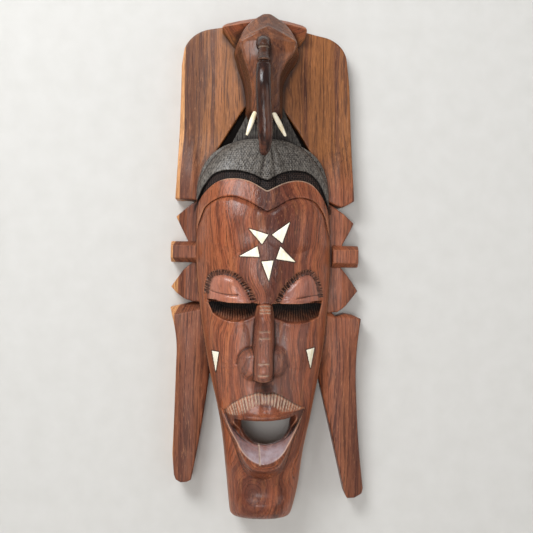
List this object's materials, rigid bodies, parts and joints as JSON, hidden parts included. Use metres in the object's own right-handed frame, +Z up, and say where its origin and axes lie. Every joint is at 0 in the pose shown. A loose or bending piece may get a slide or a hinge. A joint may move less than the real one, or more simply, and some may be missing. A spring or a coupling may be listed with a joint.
{
  "type": "carved wooden wall mask",
  "caption": "Tall hollow-backed carved hardwood face mask with an elephant crest, bone inlays and tusks, hung by a folding ring.",
  "frame": {"origin": "the point where a wall hook carries the hanger ring, in the plane of the wall", "axes": "+Z up along the mask's height, +X to the viewer's right, face looking along -Y, wall at Y = 0"},
  "size_m": [0.2479, 0.1348, 0.613],
  "materials": {
    "carved_wood": "oiled, semi-gloss",
    "bone": "polished bone",
    "bone_tusk": "polished bone",
    "zinc_steel": "zinc plated",
    "zinc_wire": "zinc plated"
  },
  "bodies": {
    "mask": {"carved_body": "carved_wood", "star_inlay_upper_left": "bone", "star_inlay_upper_right": "bone", "star_inlay_left": "bone", "star_inlay_right": "bone", "star_inlay_lower": "bone", "cheek_inlay_left": "bone", "cheek_inlay_right": "bone", "tusk_left": "bone_tusk", "tusk_right": "bone_tusk", "hanger_strap": "zinc_steel", "hanger_screw_upper": "zinc_steel", "hanger_screw_lower": "zinc_steel"},
    "ring": {"hanger_ring": "zinc_wire"}
  },
  "joints": [
    {"name": "ring_hinge", "type": "hinge", "parent": "mask", "child": "ring", "pos_m": [0, -0.00567, -0.0135], "axis": [-1, 0, 0], "range_deg": [0, 170]}
  ]
}
